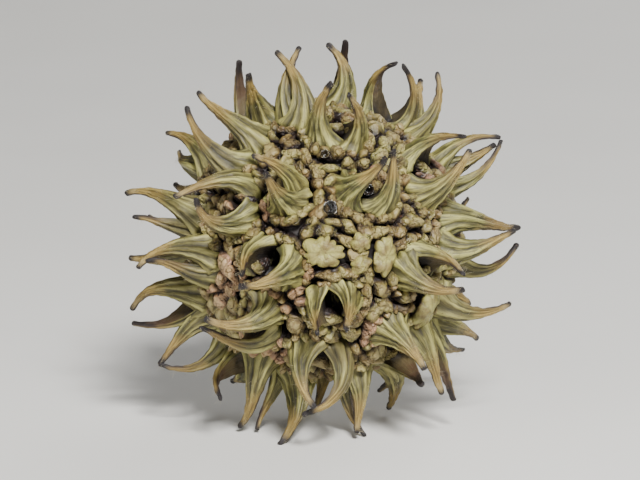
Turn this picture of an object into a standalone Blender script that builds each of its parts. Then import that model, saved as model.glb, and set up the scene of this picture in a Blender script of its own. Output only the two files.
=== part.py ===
"""A sweetgum seed ball: a round woody head of fused capsules, each with a mouth between two beaks.

Everything is worked out around the ball's centre as its front view shows it: +X to the right, +Z up and
+Y away from the eye. That view looks down on the ball by VIEW_TILT, so the finished ball is turned back
by this angle and set down on the three beaks that reach the floor.
"""

import math
import random
from collections import namedtuple

import bmesh
import bpy
from mathutils import Matrix, Vector

MM = 0.001
SEED = 4

# The ball
CORE_RADIUS = 11.2 * MM
TIP_RADIUS = 16.8 * MM
VIEW_TILT = math.radians(12)
CENTRE_HEIGHT = 15.95 * MM
# Brings the middle of the whole ball, spread of its beaks included, over the frame's origin
BALL_OFFSET = Vector((-0.081, -0.125, 0.0)) * MM

# A beak, from its wide ribbed foot to its blunt tip
FLARE_HALF_WIDTH = 1.95 * MM
TIP_HALF_WIDTH = 0.32 * MM
FLARE_WRAP = math.radians(76)
TIP_WRAP = math.radians(30)
FLARE_THICKNESS = 1.1 * MM
TIP_THICKNESS = 0.62 * MM
RIB_HEIGHT = 0.48 * MM
ROOT_SINK = 1.8 * MM
# How early each of these settles to what it is at the tip: the higher, the nearer to the root
WIDTH_FADE = 2.4
WRAP_FADE = 2.0
THICKNESS_FADE = 1.5
RIB_FADE = 2.0
# The centreline's two inner handles, as shares of the beak's length and of its bow
ROOT_HANDLE = 0.36
TIP_HANDLE = 0.3
ROOT_BOW = 0.7
TIP_BOW = 1.9
# How far a beak's open side turns to the side the beak leans over, and away from the eye
SKIRT_TURN = 1.6
VIEW_TURN = 0.6
FLARE_STATIONS = (0.14, 0.34)
TIP_STATIONS = (0.55, 0.78, 1.0)
# Round a beak: place across it from -1 to 1, with a rib, a groove or the hollow inner face there
RIB, GROOVE, HOLLOW = "rib", "groove", "hollow"
FLARE_SECTION = ((1.0, RIB), (0.5, GROOVE), (0.0, RIB), (-0.5, GROOVE), (-1.0, RIB), (0.0, HOLLOW))
TIP_SECTION = ((1.0, RIB), (0.0, RIB), (-1.0, RIB), (0.0, HOLLOW))

# The beaks whose tips come this near the floor carry the ball. They run on below it and are cut level.
FLOOR_REACH = 0.1 * MM
TIP_OVERRUN = 0.1 * MM
FAR_TIP_CLEARANCE = 0.35 * MM

# A capsule's mouth and the ground that its two beaks take up
MOUTH_DEPTH = 2.6 * MM
CAPSULE_ALONG = 3.1 * MM
CAPSULE_ACROSS = 2.8 * MM
MOAT_SIDES = 7
CAPSULE_PITCH = 5.3 * MM
# How far past the ball's rim, of its radius, the capsules that the front view doesn't show begin
FAR_HALF = 0.3
ROOT_OFFSET = 2.0 * MM
# How far a far beak's tip may stray: in line with its capsule, across it, and in its reach
TIP_ALONG = (-0.6 * MM, 2.6 * MM)
TIP_ACROSS = 0.7 * MM
CAPSULE_LEAN = 1.3 * MM
FAR_BOW = 0.6 * MM
TIP_REACH = (0.95, 1.03)

# The knobs that cover the ball between the capsules
KNOB_PITCH = 2.1 * MM
KNOB_SHOULDER = 0.55 * MM
KNOB_HEIGHT = 0.95 * MM
KNOB_SHOULDER_HEIGHT = 0.65 * MM
KNOB_SIDES = 5
VALLEY_DEPTH = 0.2 * MM
VALLEY_SPACING = 0.8 * MM

# The scar where the stalk broke away, on the far side
SCAR_DIRECTION = Vector((0.30, 0.92, 0.25)).normalized()
SCAR_RINGS = ((0.55 * MM, 0.10 * MM), (1.15 * MM, 0.75 * MM))
SCAR_SIDES = 8
SCAR_GROUND = 2.2 * MM

FRONT, BACK = 1, -1

# The beaks of the near half, two or three to a capsule, in mm from the ball's centre: root and tip as
# (right, up), how far the middle bows to the left of the line from root to tip, and the side of the ball.
# Where a tip's distance toward the eye can't follow from the ball's roundness, it comes last.
CAPSULES = (
    (((5.4, 2.8), (6.0, 7.6), 0.0, FRONT), ((1.5, 4.0), (5.3, 7.0), -0.4, FRONT)),
    (((-0.6, 8.6), (0.8, 13.3), 0.3, FRONT), ((3.2, 8.2), (2.2, 12.3), -0.3, FRONT)),
    (((-2.0, 5.0), (-5.8, 7.1), -0.2, FRONT), ((-2.8, 2.5), (-4.7, 5.7), 0.1, FRONT)),
    (((7.1, 7.4), (12.1, 8.8), 0.3, FRONT), ((8.3, 3.3), (12.5, 7.7), -0.3, FRONT)),
    (((3.7, 10.8), (6.4, 15.1), 0.8, FRONT), ((7.1, 9.6), (6.8, 15.0), -0.7, FRONT)),
    (((1.7, 11.1), (0.4, 16.8), -0.8, FRONT), ((1.4, 10.5), (2.0, 17.1), 0.0, BACK)),
    (((-1.1, 9.9), (-3.9, 16.1), -0.5, FRONT), ((-3.2, 10.1), (-1.9, 16.5), 0.3, FRONT)),
    (((-4.4, 9.8), (-6.1, 14.1), 0.3, FRONT), ((-6.0, 9.3), (-7.1, 15.4), 0.2, BACK)),
    (((-5.0, 8.4), (-10.5, 12.7), 0.4, FRONT), ((-7.3, 5.6), (-11.5, 11.4), 0.5, FRONT)),
    (((-8.8, 6.9), (-13.4, 9.3), -0.4, BACK), ((-9.7, 5.4), (-12.4, 7.7), 0.3, BACK)),
    (((-6.1, 5.1), (-12.4, 3.7), -0.2, FRONT), ((-6.4, 1.1), (-10.5, 3.6), 1.0, FRONT)),
    (((-10.0, 2.3), (-16.8, 4.1), -0.7, FRONT), ((-10.7, 0.4), (-16.0, 2.0), -0.3, FRONT)),
    (((-9.2, -0.4), (-15.6, -2.3), -0.8, FRONT), ((-9.4, -3.3), (-14.8, -1.7), -0.5, FRONT)),
    (((-10.2, -4.0), (-16.2, -5.9), -1.2, FRONT), ((-10.3, -6.0), (-16.2, -7.0), 0.5, BACK)),
    (((-9.7, -5.5), (-13.9, -10.5), 0.0, FRONT), ((-7.6, -8.6), (-13.9, -10.5), 0.9, FRONT)),
    (((-3.9, -5.4), (-9.8, -6.4), 0.8, FRONT), ((-4.6, -8.2), (-10.2, -7.2), 0.2, FRONT)),
    (((-1.9, -2.2), (-6.9, -3.8), 0.3, FRONT), ((-6.0, -0.5), (-6.7, -2.8), 0.0, FRONT)),
    (((10.1, 2.2), (16.9, 1.2), -0.3, FRONT), ((10.3, -1.3), (16.4, 0.9), -0.1, FRONT)),
    (((11.1, -2.5), (16.7, -0.2), -0.8, BACK), ((9.4, -5.3), (16.1, -5.3), -0.6, FRONT)),
    (((8.5, -0.6), (11.9, -2.8), 0.2, FRONT), ((6.3, -2.6), (11.9, -4.0), -0.6, FRONT)),
    (((5.3, -6.7), (8.6, -10.8), 0.2, FRONT), ((6.0, -9.4), (8.4, -12.2), 0.2, FRONT)),
    (((7.7, -6.9), (10.2, -13.0), 0.0, FRONT), ((9.0, -7.6), (11.3, -13.6), 0.0, BACK)),
    (((10.0, -6.5), (13.4, -8.4), 0.2, BACK), ((9.2, -8.4), (12.2, -9.4), -0.3, BACK)),
    (((3.2, -10.3), (3.0, -16.3), 0.0, FRONT), ((1.4, -11.1), (3.7, -16.6), -0.3, FRONT, 1.4)),
    (((5.6, -10.6), (5.7, -14.5), 0.4, BACK), ((6.3, -9.8), (5.0, -13.0), 0.0, BACK)),
    (((-1.9, -8.6), (-0.6, -14.0), -0.5, FRONT), ((2.0, -9.3), (-1.7, -14.6), 1.0, FRONT)),
    (((-5.1, -9.4), (-7.1, -15.9), 0.5, FRONT), ((-2.9, -11.0), (-5.5, -16.1), -0.3, FRONT)),
    (((-2.0, -10.8), (-3.7, -17.2), 0.7, FRONT, 4.2), ((-0.9, -10.6), (-2.4, -14.8), 0.0, BACK, -5.5)),
    (((-7.8, -10.6), (-8.5, -13.4), -1.0, FRONT), ((-5.8, -10.8), (-7.7, -12.2), 0.0, BACK)),
    (((-0.9, -5.3), (-0.4, -7.7), 0.0, FRONT), ((2.6, -4.2), (2.0, -7.4), 0.0, FRONT)),
    (((10.1, 7.4), (15.2, 8.8), 0.6, BACK), ((11.1, 4.1), (15.3, 8.6), -0.5, BACK),
     ((10.9, 5.6), (14.8, 8.2), 0.0, FRONT)),
    (((8.7, 9.3), (9.8, 14.4), -0.7, FRONT), ((7.8, 9.9), (8.5, 13.9), 0.0, BACK)),
    (((0.6, -9.4), (-0.4, -14.5), 0.0, BACK), ((0.2, -6.5), (0.4, -9.5), 0.0, BACK)),
)
# Capsules that never filled: a bare patch of knobs in the middle of the front
BARE_PATCHES = ((1.0, -0.3), (4.6, -1.0))

Beak = namedtuple("Beak", "curve inward reaches_floor")
Capsule = namedtuple("Capsule", "mouth along beaks")


def in_view(right, up, toward):
    """A point of the front view, given in mm, as a vector in metres."""
    return Vector((right, -toward, up)) * MM


def on_ball(place, radius, side):
    """The point that the front view shows at this place, on a ball of this radius."""
    right, up = place
    hidden = (radius / MM) ** 2 - right**2 - up**2
    point = in_view(right, up, side * math.sqrt(max(hidden, 0.0)))
    return point


def floor_up():
    """The floor's upward direction in the front view's frame."""
    return Vector((0.0, -math.sin(VIEW_TILT), math.cos(VIEW_TILT)))


def height_over_floor(point):
    return point.dot(floor_up()) + CENTRE_HEIGHT


def beak_between(root, tip, bow, mouth, hidden):
    """A beak that leaves the ball squarely at its root and bends over to its tip.

    Its open side looks to the mouth, to the side it leans over, and to the hidden direction.
    """
    chord = tip - root
    out = root.normalized()
    sideways = Vector((-chord.z, 0.0, chord.x))
    bend = sideways.normalized() * bow if sideways.length > 0 else Vector()
    curve = (
        root,
        root + out * chord.length * ROOT_HANDLE + bend * ROOT_BOW,
        tip - chord * TIP_HANDLE + bend * TIP_BOW,
        tip,
    )
    lean = chord - out * chord.dot(out)
    inward = (mouth - root).normalized() + lean * (SKIRT_TURN / chord.length) + hidden
    return Beak(curve, inward.normalized(), height_over_floor(tip) < FLOOR_REACH)


def capsule_between(*lines):
    """A capsule from the lines of its beaks in CAPSULES. Its mouth is midway between the first two."""
    ends = []
    for root, tip, bow, side, *toward in lines:
        tip_point = in_view(*tip, *toward) if toward else on_ball(tip, TIP_RADIUS, side)
        root_point = on_ball(root, CORE_RADIUS, side).normalized() * CORE_RADIUS
        hidden = Vector((0.0, VIEW_TURN if side == FRONT else 0.0, 0.0))
        ends.append((root_point, tip_point, bow * MM, hidden))
    mouth = ((ends[0][0] + ends[1][0]) / 2).normalized() * CORE_RADIUS
    beaks = [beak_between(root, tip, bow, mouth, hidden) for root, tip, bow, hidden in ends]
    return Capsule(mouth, (ends[0][0] - ends[1][0]).normalized(), beaks)


def spread_directions(count):
    """Directions spread evenly over the whole ball, along one long spiral."""
    golden = math.pi * (3 - math.sqrt(5))
    found = []
    for i in range(count):
        height = 1 - (2 * i + 1) / count
        around = math.sqrt(1 - height * height)
        found.append(Vector((math.cos(golden * i) * around, math.sin(golden * i) * around, height)))
    return found


def far_capsule(direction, draw):
    """A capsule of the far half, which the front view doesn't show, as the near ones are shaped."""
    mouth = direction * CORE_RADIUS
    along = direction.orthogonal().normalized()
    along.rotate(Matrix.Rotation(draw.uniform(0, math.pi), 3, direction))
    across = direction.cross(along)
    lean = across * draw.uniform(-CAPSULE_LEAN, CAPSULE_LEAN)
    beaks = []
    for side in (1, -1):
        root = (mouth + along * side * ROOT_OFFSET).normalized() * CORE_RADIUS
        aside = along * side * draw.uniform(*TIP_ALONG) + across * draw.uniform(-TIP_ACROSS, TIP_ACROSS)
        tip = (direction * TIP_RADIUS + aside + lean) * draw.uniform(*TIP_REACH)
        short_by = FAR_TIP_CLEARANCE - height_over_floor(tip)
        if short_by > 0:
            tip += floor_up() * short_by
        beaks.append(beak_between(root, tip, draw.uniform(-FAR_BOW, FAR_BOW), mouth, Vector()))
    return Capsule(mouth, along, beaks)


def all_capsules():
    """The near capsules as they are seen, then far ones wherever the widest gap is left."""
    draw = random.Random(SEED)
    capsules = [capsule_between(*lines) for lines in CAPSULES]
    taken = [capsule.mouth for capsule in capsules]
    taken += [on_ball(place, CORE_RADIUS, FRONT) for place in BARE_PATCHES]
    taken.append(SCAR_DIRECTION * CORE_RADIUS)
    free = [d for d in spread_directions(900) if d.y > FAR_HALF]
    while True:
        gaps = [min((d * CORE_RADIUS - mouth).length for mouth in taken) for d in free]
        widest = max(gaps)
        if widest < CAPSULE_PITCH:
            return capsules
        direction = free[gaps.index(widest)]
        taken.append(direction * CORE_RADIUS)
        capsules.append(far_capsule(direction, draw))


def on_open_ground(point, capsules):
    """Whether a point of the ball is clear of every capsule and of the stalk's scar."""
    if (point - SCAR_DIRECTION * CORE_RADIUS).length < SCAR_GROUND:
        return False
    for capsule in capsules:
        away = point - capsule.mouth
        along = away.dot(capsule.along)
        across = math.sqrt(max(away.length_squared - along**2, 0.0))
        if (along / CAPSULE_ALONG) ** 2 + (across / CAPSULE_ACROSS) ** 2 < 1:
            return False
    return True


def knob_directions(capsules):
    """Where the knobs stand: as close as KNOB_PITCH allows, wherever no capsule is."""
    candidates = spread_directions(5000)
    random.Random(SEED).shuffle(candidates)
    found = []
    for direction in candidates:
        point = direction * CORE_RADIUS
        crowded = any((point - other * CORE_RADIUS).length < KNOB_PITCH for other in found)
        if not crowded and on_open_ground(point, capsules):
            found.append(direction)
    return found


def oval_round(direction, along, long_radius, short_radius, sides):
    """Directions on a small oval of the ball around one direction."""
    along = (along - direction * along.dot(direction)).normalized()
    across = direction.cross(along)
    oval = []
    for i in range(sides):
        angle = 2 * math.pi * i / sides
        offset = along * math.cos(angle) * long_radius + across * math.sin(angle) * short_radius
        oval.append((direction * CORE_RADIUS + offset).normalized())
    return oval


def ring_round(direction, along, radius, sides):
    return oval_round(direction, along, radius, radius, sides)


def ball_through(directions):
    """A closed mesh on the unit ball with a corner in every one of these directions."""
    mesh = bmesh.new()
    for direction in directions:
        mesh.verts.new(direction)
    bmesh.ops.convex_hull(mesh, input=mesh.verts[:])
    mesh.verts.ensure_lookup_table()
    mesh.verts.index_update()
    mesh.normal_update()
    return mesh


def core_mesh(capsules):
    """The ball itself: knobs with valleys between them, a mouth in each capsule, and the scar."""
    draw = random.Random(SEED)
    knobs = knob_directions(capsules)
    corners = [(direction, KNOB_HEIGHT) for direction in knobs]
    for direction in knobs:
        along = Vector((draw.uniform(-1, 1), draw.uniform(-1, 1), draw.uniform(-1, 1)))
        ring = ring_round(direction, along, KNOB_SHOULDER * draw.uniform(0.9, 1.1), KNOB_SIDES)
        corners += [(corner, KNOB_SHOULDER_HEIGHT) for corner in ring]
    for capsule in capsules:
        mouth = capsule.mouth.normalized()
        corners.append((mouth, -MOUTH_DEPTH))
        moat = oval_round(mouth, capsule.along, CAPSULE_ALONG, CAPSULE_ACROSS, MOAT_SIDES)
        others = [other for other in capsules if other is not capsule]
        corners += [(corner, 0.0) for corner in moat if on_open_ground(corner * CORE_RADIUS, others)]
    corners.append((SCAR_DIRECTION, 0.0))
    for radius, height in SCAR_RINGS:
        ring = ring_round(SCAR_DIRECTION, SCAR_DIRECTION.orthogonal(), radius, SCAR_SIDES)
        corners += [(corner, height) for corner in ring]
    corners += [(valley, -VALLEY_DEPTH) for valley in valleys_between(knobs, capsules)]
    mesh = ball_through([direction for direction, _ in corners])
    for vert, (direction, height) in zip(mesh.verts, corners):
        vert.co = direction * (CORE_RADIUS + height)
    bmesh.ops.triangulate(mesh, faces=mesh.faces[:])
    return mesh


def valleys_between(knobs, capsules):
    """The low points: midway between two neighbouring knobs and where three of them meet."""
    rough = ball_through(knobs + [capsule.mouth.normalized() for capsule in capsules])
    middles = [face.normal.normalized() for face in rough.faces]
    middles += [(edge.verts[0].co + edge.verts[1].co).normalized() for edge in rough.edges]
    rough.free()
    found = []
    for valley in middles:
        point = valley * CORE_RADIUS
        near = min((point - knob * CORE_RADIUS).length for knob in knobs)
        lonely = all((valley - other).length * CORE_RADIUS > VALLEY_SPACING for other in found)
        if near > 1.3 * KNOB_SHOULDER and lonely and on_open_ground(point, capsules):
            found.append(valley)
    return found


def along_curve(curve, t):
    """Point and direction of a beak's centreline, from its root at 0 to its tip at 1."""
    a, b, c, d = curve
    u = 1 - t
    point = a * u**3 + b * 3 * u * u * t + c * 3 * u * t * t + d * t**3
    slope = (b - a) * u * u + (c - b) * 2 * u * t + (d - c) * t * t
    return point, slope.normalized()


def fade(start, end, t, power):
    """From start at the root to end at the tip, most of the change being near the root."""
    return end + (start - end) * (1 - t) ** power


def section_at(section, point, forward, inward, t):
    """One ring of a beak: a gutter with ribs outside, hollow on the side of the mouth."""
    sideways = forward.cross(inward)
    half_width = fade(FLARE_HALF_WIDTH, TIP_HALF_WIDTH, t, WIDTH_FADE)
    wrap = fade(FLARE_WRAP, TIP_WRAP, t, WRAP_FADE)
    thickness = fade(FLARE_THICKNESS, TIP_THICKNESS, t, THICKNESS_FADE)
    groove_depth = fade(RIB_HEIGHT, 0.0, t, RIB_FADE)
    lifts = {RIB: thickness / 2, GROOVE: thickness / 2 - groove_depth, HOLLOW: -thickness / 2}
    bend_radius = half_width / math.sin(wrap)
    ring = []
    for across, kind in section:
        radius = bend_radius + lifts[kind]
        aside = sideways * math.sin(wrap * across) * radius
        ring.append(point + aside + inward * (bend_radius - math.cos(wrap * across) * radius))
    return ring


def beak_rings(beak):
    """The rings of one beak from below the ball's surface to the tip."""
    point, forward = along_curve(beak.curve, 0.0)
    inward = (beak.inward - forward * beak.inward.dot(forward)).normalized()
    rings = [section_at(FLARE_SECTION, point - forward * ROOT_SINK, forward, inward, 0.0)]
    for section, stations in ((FLARE_SECTION, FLARE_STATIONS), (TIP_SECTION, TIP_STATIONS)):
        for t in stations:
            point, forward = along_curve(beak.curve, t)
            inward = (inward - forward * inward.dot(forward)).normalized()
            rings.append(section_at(section, point, forward, inward, t))
    if beak.reaches_floor:
        steepness = forward.dot(floor_up())
        rings[-1] = [p - forward * ((height_over_floor(p) + TIP_OVERRUN) / steepness) for p in rings[-1]]
    return rings


def beak_mesh(beak):
    mesh = bmesh.new()
    rings = [[mesh.verts.new(p) for p in ring] for ring in beak_rings(beak)]
    for low, high in zip(rings, rings[1:]):
        if len(low) == len(high):
            for i, here in enumerate(low):
                mesh.faces.new((low[i - 1], here, high[i], high[i - 1]))
        else:
            join_flare_to_tip(mesh, low, high)
    for ring in (rings[0], rings[-1]):
        hollow = ring[-1]
        for here, there in zip(ring[:-1], ring[1:-1]):
            mesh.faces.new((hollow, here, there))
    bmesh.ops.triangulate(mesh, faces=mesh.faces[:])
    bmesh.ops.recalc_face_normals(mesh, faces=mesh.faces[:])
    return mesh


def join_flare_to_tip(mesh, low, high):
    """Closes the band between the last ring with grooves and the first without them."""
    side, groove, rib, far_groove, far_side, hollow = low
    tip_side, tip_rib, tip_far_side, tip_hollow = high
    mesh.faces.new((side, groove, tip_side))
    mesh.faces.new((groove, tip_rib, tip_side))
    mesh.faces.new((groove, rib, tip_rib))
    mesh.faces.new((rib, far_groove, tip_rib))
    mesh.faces.new((far_groove, tip_far_side, tip_rib))
    mesh.faces.new((far_groove, far_side, tip_far_side))
    mesh.faces.new((far_side, hollow, tip_hollow, tip_far_side))
    mesh.faces.new((hollow, side, tip_side, tip_hollow))


def new_object(name, mesh, collection):
    data = bpy.data.meshes.new(name)
    mesh.to_mesh(data)
    mesh.free()
    made = bpy.data.objects.new(name, data)
    collection.objects.link(made)
    return made


def level_feet(mesh):
    """Cuts off what runs on below the floor, so that the lowest tips end in flat feet."""
    everything = mesh.verts[:] + mesh.edges[:] + mesh.faces[:]
    bmesh.ops.bisect_plane(mesh, geom=everything, plane_co=(0, 0, 0), plane_no=(0, 0, -1), clear_outer=True)
    rims = [edge for edge in mesh.edges if edge.is_boundary]
    bmesh.ops.holes_fill(mesh, edges=rims)
    bmesh.ops.triangulate(mesh, faces=mesh.faces[:], ngon_method="EAR_CLIP")


def join_into(core, collection):
    """Joins every object of the collection to the core, and clears the collection away."""
    union = core.modifiers.new("join beaks", "BOOLEAN")
    union.operation = "UNION"
    union.operand_type = "COLLECTION"
    union.collection = collection
    union.solver = "EXACT"
    graph = bpy.context.evaluated_depsgraph_get()
    core.data = bpy.data.meshes.new_from_object(core.evaluated_get(graph))
    core.modifiers.clear()
    for beak in list(collection.objects):
        bpy.data.objects.remove(beak)
    bpy.data.collections.remove(collection)


def set_down(ball):
    """Turns the ball upright, puts it on its feet and cuts these level."""
    skin = bmesh.new()
    skin.from_mesh(ball.data)
    rise = BALL_OFFSET + Vector((0.0, 0.0, CENTRE_HEIGHT))
    skin.transform(Matrix.Translation(rise) @ Matrix.Rotation(-VIEW_TILT, 4, "X"))
    level_feet(skin)
    skin.to_mesh(ball.data)
    skin.free()


def woody_green():
    material = bpy.data.materials.new("woody_green")
    material.use_nodes = True
    shader = material.node_tree.nodes["Principled BSDF"]
    shader.inputs["Base Color"].default_value = (0.24, 0.21, 0.095, 1.0)
    shader.inputs["Roughness"].default_value = 0.6
    shader.inputs["Metallic"].default_value = 0.0
    return material


def main():
    for old in list(bpy.data.objects):
        bpy.data.objects.remove(old)
    scene = bpy.context.scene
    capsules = all_capsules()
    ball = new_object("seed_ball", core_mesh(capsules), scene.collection)
    beaks = bpy.data.collections.new("beaks")
    scene.collection.children.link(beaks)
    for capsule in capsules:
        for beak in capsule.beaks:
            new_object("beak", beak_mesh(beak), beaks)
    join_into(ball, beaks)
    set_down(ball)
    ball.data.materials.clear()
    ball.data.materials.append(woody_green())


main()
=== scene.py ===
"""The sweetgum seed ball's finished surface: pleated beaks, warty knobs, mouths dark with painted shade,
fuzz and dew.

Shapes are worked out around the ball's centre as the photograph shows it: +X to the right, +Z up and
+Y away from the eye. The camera looks down by VIEW_TILT, so every piece is turned back by this angle.
"""

import random
from collections import namedtuple
from math import cos, exp, pi, radians, sin, sqrt

import bmesh
import bpy
import numpy as np
from mathutils import Matrix, Vector


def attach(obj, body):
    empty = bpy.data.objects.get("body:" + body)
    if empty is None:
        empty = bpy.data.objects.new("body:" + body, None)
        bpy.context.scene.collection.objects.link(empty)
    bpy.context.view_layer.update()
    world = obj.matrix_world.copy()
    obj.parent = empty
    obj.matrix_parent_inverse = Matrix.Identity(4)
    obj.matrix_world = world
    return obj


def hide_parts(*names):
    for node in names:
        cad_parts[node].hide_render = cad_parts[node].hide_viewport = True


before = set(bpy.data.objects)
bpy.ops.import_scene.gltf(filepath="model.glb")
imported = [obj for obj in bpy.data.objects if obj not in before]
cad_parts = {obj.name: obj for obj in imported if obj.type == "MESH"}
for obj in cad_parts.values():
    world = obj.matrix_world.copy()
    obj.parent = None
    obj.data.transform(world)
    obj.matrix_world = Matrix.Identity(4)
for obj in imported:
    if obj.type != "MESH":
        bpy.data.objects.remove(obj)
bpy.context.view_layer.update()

MM = 0.001
SEED = 4
BODY = "root"
NODE = "seed_ball"

# The photograph's pixels, and how it is taken
PIXEL = 0.085 * MM
PHOTO_WIDTH = 640
PHOTO_HEIGHT = 480
CENTRE_PIXEL = (322, 241)
VIEW_TILT = radians(12)
CAMERA_DISTANCE = 0.6
SENSOR_WIDTH = 36.0

# Each light's place from the ball's centre, size and power, then the room and the floor
LIGHTS = {
    "key": ((0.07, -0.3, 0.27), 0.09, 4.0),
    "fill": ((-0.35, -0.35, 0.02), 0.35, 1.0),
    "back": ((0.25, 0.4, 0.25), 0.35, 1.6),
}
ROOM_COLOUR = (0.95, 0.97, 1.0, 1.0)
ROOM_STRENGTH = 0.1
FLOOR_SIZE = 4.0

# The waves that relief is made of: how many, how their pitch varies, and how many seeds there are
WAVE_COUNT = 14
WAVE_SPREAD = (0.6, 1.7)
SEEDS = 1000

# The ball, as in the part
CORE_RADIUS = 11.2 * MM
TIP_RADIUS = 16.8 * MM
CENTRE_HEIGHT = 15.95 * MM
BALL_OFFSET = Vector((-0.081, -0.125, 0.0)) * MM

# A beak's path: how far it leaves and arrives straight, of its length, how much of its bend comes early and
# late, and how far its open side turns to the side that it leans over, and away from the eye
ROOT_HANDLE = 0.36
TIP_HANDLE = 0.3
ROOT_BOW = 0.7
TIP_BOW = 1.9
SKIRT_TURN = 2.6
VIEW_TURN = 0.8

# A beak's outline, from its wide skirt to its blunt horn. Pairs are for a shut capsule and one that gapes.
SKIRT_RADIUS = (1.6 * MM, 2.0 * MM)
SKIRT_WRAP = (radians(110), radians(82))
SKIRT_HOLLOW = (0.12, 0.6)
HORN_RADIUS = 0.42 * MM
HORN_WRAP = radians(100)
HORN_BULGE = 0.35
WIDTH_FADE = 2.3
WRAP_FADE = 2.0
TAPER_START = 0.45
TIP_TAPER = 0.4
TIP_ROUNDING = 0.03
TIP_END = 0.03
SPINE_OUT = 0.24 * MM
ROOT_SINK = 1.8 * MM
ROOT_TUCK = 0.9 * MM
FOOT_FLARE = 0.35 * MM
FOOT_END = 0.2
CHANNEL_DEPTH = 0.1 * MM
CHANNEL_WIDTH = 0.4
CHANNEL_START = 0.3
CHANNEL_FADE = 0.3
RUFFLE = 0.035 * MM
RUFFLE_SIZE = 0.9 * MM

# The pleats of a skirt, which stray this far and often, along the beak and across it
PLEATS = (5, 6, 7)
PLEAT_HEIGHT = 0.56 * MM
PLEAT_END = 0.85
PLEAT_SHARPNESS = 0.8
PLEAT_UNEVENNESS = 0.25
PLEAT_WANDER = ((0.06, 5), (0.05, 9))
PHASES = (0, 6)
FINE_PLEAT = 0.22
FINE_PLEAT_END = 0.4

# How finely a beak is drawn
OUTER_POINTS = 34
INNER_POINTS = 14
RIM_CROWDING = 0.35
STATIONS = 36
SUNK_STATIONS = 4
TIP_STATIONS = 5

# The fine hairs on a horn
FUZZ_COUNT = 30
FUZZ_START = 0.3
FUZZ_WRAP = radians(110)
FUZZ_LEAN = (-0.2, 0.8)
FUZZ_SPREAD = 0.2
FUZZ_REACH = (0.38 * MM, 0.85 * MM)
FUZZ_RADIUS = 0.009 * MM
FUZZ_TAPER = 0.7
FUZZ_CURL = 0.15
FUZZ_JOINTS = (0.0, 0.6, 1.0)

# How the capsules of the far side are drawn, as in the part
FAR_HALF = 0.3
FAR_CHOICES = 900
FAR_BOW = 0.6 * MM
FAR_GAPE = (0.1, 0.7)
FAR_TIP_CLEARANCE = 0.35 * MM
CAPSULE_PITCH = 5.3 * MM
CAPSULE_LEAN = 1.3 * MM
ROOT_OFFSET = 2.0 * MM
TIP_ALONG = (-0.6 * MM, 2.6 * MM)
TIP_ACROSS = 0.7 * MM
TIP_REACH = (0.95, 1.03)

# The head under the knobs, which carries painted shade, and the mouths sunk into it. Bumps are given by size
# and height.
HEAD_RADIUS = 10.5 * MM
HEAD_FINENESS = 7
HEAD_BUMPS = ((1.3 * MM, 0.12 * MM), (0.5 * MM, 0.05 * MM))
MOUTH_RADIUS = 1.7 * MM
MOUTH_DEPTH = 2.0 * MM

# Where knobs stand: how close, how far from the middle of a mouth, along and across it, and how much of a
# plate's or bean's size they leave clear
GROUND_PLACES = 14000
KNOB_PITCH = 0.98 * MM
CLEAR_ALONG = (1.9 * MM, 2.6 * MM)
CLEAR_ACROSS = (1.4 * MM, 2.0 * MM)
PLATE_CLEARANCE = 0.9
BEAN_CLEARANCE = 0.8
KNOB_BASE = 10.95 * MM
KNOB_BASE_SPREAD = (0.985, 1.015)

# The knobs. Each kind has the share of knobs up to and with it, width, depth and height, choices of lobes,
# how deep these are and how flat the top is.
KNOB_RADIUS = 0.86 * MM
KNOB_SPREAD = (0.85, 1.2)
KNOB_KINDS = (
    (0.4, (1.0, 0.9, 1.15), (2, 3), 0.12, 0.1),
    (0.8, (1.5, 0.8, 1.1), (2, 4), 0.12, 0.15),
    (1.0, (1.25, 1.1, 0.95), (4, 5), 0.2, 0.5),
)
KNOB_RINGS = 11
KNOB_LEAN = radians(140)
# Bumps and creases on a knob: how far apart, of its size, and how high or deep
KNOB_BUMPS = ((2.4, 0.18), (1.1, 0.06))
KNOB_CREASES = ((3.0, 0.2), (2.0, 0.16), (1.3, 0.08))
CREASE_WIDTH = 0.2
RELIEF_SHADE = 1.6
# The flats that make a knob angular: how many, and how far from its middle, of its size
FLAT_COUNT = 7
FLAT_REACH = (0.55, 0.9)
FLAT_STRENGTH = 0.6
FLAT_RISE = 0.8
FLAT_SHADE = 0.3

# The rows of small knobs round each skirt. Their form is how deep the lobes and how flat the tops are.
COLLAR_PITCH = 0.76 * MM
COLLAR_GAP = 0.78 * MM
COLLAR_SPAN = radians(170)
COLLAR_COUNT = 10
COLLAR_KNOB = 0.56 * MM
COLLAR_SPREAD = (0.85, 1.25)
COLLAR_WIDTH = (1.0, 1.5)
COLLAR_HEIGHT = (1.5, 2.3)
COLLAR_LOBES = (2, 3)
COLLAR_FORM = (0.1, 0.1)
COLLAR_RINGS = 7

# The flat plates. The rings that fold over a rim are given by how far out and how far down they are.
PLATE_RINGS = 12
PLATE_SEGMENTS = 72
PLATE_THICKNESS = 1.3 * MM
PLATE_REACH = 12.1 * MM
PLATE_MIDDLE = 0.08
PLATE_SCALLOP = 0.26
PLATE_TINT = 0.72
PLATE_FOLDS = 0.25
PLATE_RIM = ((1.02, 0.12), (0.97, 0.3), (0.85, 0.55))
PLATE_BUMPS = ((1.6 * MM, 0.1 * MM), (0.5 * MM, 0.025 * MM))

# The tints that knobs take, from tan over olive and pale to pink
PLAIN_TINTS = (0.0, 0.6)
PALE_TINTS = (0.6, 0.75)
PINK_TINTS = (0.85, 1.0)
PATCH_EDGE = (0.2, 0.9)

# The beans' height, then how many lobes they have, how deep those are and how flat the top is
BEAN_HEIGHT = 0.8 * MM
BEAN_LOBES = (2, 0.12, 0.2)

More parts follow.
